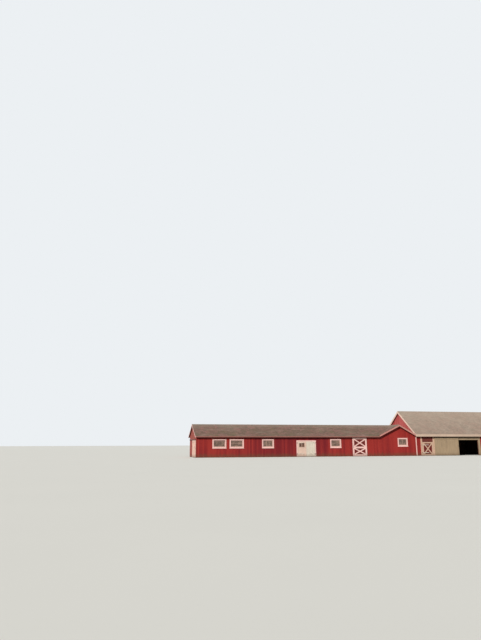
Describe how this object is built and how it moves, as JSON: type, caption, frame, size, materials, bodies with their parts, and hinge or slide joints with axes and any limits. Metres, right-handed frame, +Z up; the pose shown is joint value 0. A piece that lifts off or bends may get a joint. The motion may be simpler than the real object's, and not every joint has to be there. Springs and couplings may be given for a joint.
{
  "type": "red stable wing with a cross gable and a taller barn",
  "caption": "Long low red board stable with white trimmed windows and hinged and sliding doors, a cross gable and a taller barn joined at its end.",
  "frame": {"origin": "middle of the whole footprint on the ground", "axes": "+X along the building from the stable wing to the tall barn, +Y from the front wall to the back, +Z up"},
  "size_m": [39.785, 8.36, 5.5991],
  "materials": {
    "red_boards": "painted vertical boards, weathered",
    "white_boards": "painted boards, weathered",
    "plain_leaf": "painted boards",
    "dark_boards": "painted boards in dark red",
    "cream_boards": "painted boards, weathered",
    "brown_shingles": "mineral shingles on boards",
    "tan_shingles": "mineral shingles on boards",
    "iron": "black hardware",
    "glass": "old window glass"
  },
  "bodies": {
    "building": {"front_wall": "red_boards", "front_wall_headers": "red_boards", "wing_back_wall": "red_boards", "end_wall": "red_boards", "end_wall_top": "red_boards", "wing_roof_front": "brown_shingles", "wing_roof_back": "brown_shingles", "wing_roof_corner": "brown_shingles", "cross_roof_left": "brown_shingles", "cross_roof_right": "brown_shingles", "wing_ridge_cap": "brown_shingles", "cross_ridge_cap": "brown_shingles", "wing_eave_boards": "dark_boards", "wing_rake_boards": "white_boards", "cross_rake_boards": "white_boards", "corner_board": "white_boards", "window_casings": "white_boards", "window_sashes": "white_boards", "window_glass": "glass", "stable_door_casing": "white_boards", "sliding_door_tracks": "iron", "hinge_pins": "iron", "barn_front_wall": "red_boards", "barn_front_headers": "red_boards", "barn_left_wall": "red_boards", "barn_right_wall": "red_boards", "barn_back_wall": "red_boards", "barn_roof_front": "tan_shingles", "barn_roof_back": "tan_shingles", "barn_ridge_cap": "tan_shingles", "barn_eave_boards": "cream_boards", "barn_rake_boards": "white_boards", "half_door_casing": "white_boards", "bay_header_board": "cream_boards", "half_door_upper": "dark_boards"},
    "left_leaf_body": {"left_leaf": "white_boards", "left_leaf_glass": "glass", "left_leaf_hinges": "iron"},
    "right_leaf_body": {"right_leaf": "plain_leaf", "right_leaf_hinges": "iron"},
    "brace_door_body": {"brace_door_boards": "dark_boards", "brace_door_frame": "white_boards", "brace_door_hangers": "iron"},
    "end_door_body": {"end_door": "white_boards", "end_door_hangers": "iron"},
    "half_door_body": {"half_door_boards": "dark_boards", "half_door_frame": "white_boards", "half_door_hinges": "iron"},
    "bay_door_body": {"bay_door": "cream_boards", "bay_door_hangers": "iron"}
  },
  "joints": [
    {"name": "left_leaf_hinge", "type": "hinge", "parent": "building", "child": "left_leaf_body", "pos_m": [-7.8575, -3.856, 0.9], "axis": [0, 0, -1], "range_deg": [0, 165]},
    {"name": "right_leaf_hinge", "type": "hinge", "parent": "building", "child": "right_leaf_body", "pos_m": [-5.7075, -3.856, 0.9], "axis": [0, 0, 1], "range_deg": [0, 165]},
    {"name": "brace_door_slide", "type": "slide", "parent": "building", "child": "brace_door_body", "axis": [1, 0, 0], "range_m": [0, 1.82]},
    {"name": "end_door_slide", "type": "slide", "parent": "building", "child": "end_door_body", "axis": [0, 1, 0], "range_m": [0, 2.1]},
    {"name": "half_door_hinge", "type": "hinge", "parent": "building", "child": "half_door_body", "pos_m": [8.3025, -3.856, 0.85], "axis": [0, 0, -1], "range_deg": [0, 165]},
    {"name": "bay_door_slide", "type": "slide", "parent": "building", "child": "bay_door_body", "axis": [1, 0, 0], "range_m": [0, 2.88]}
  ]
}
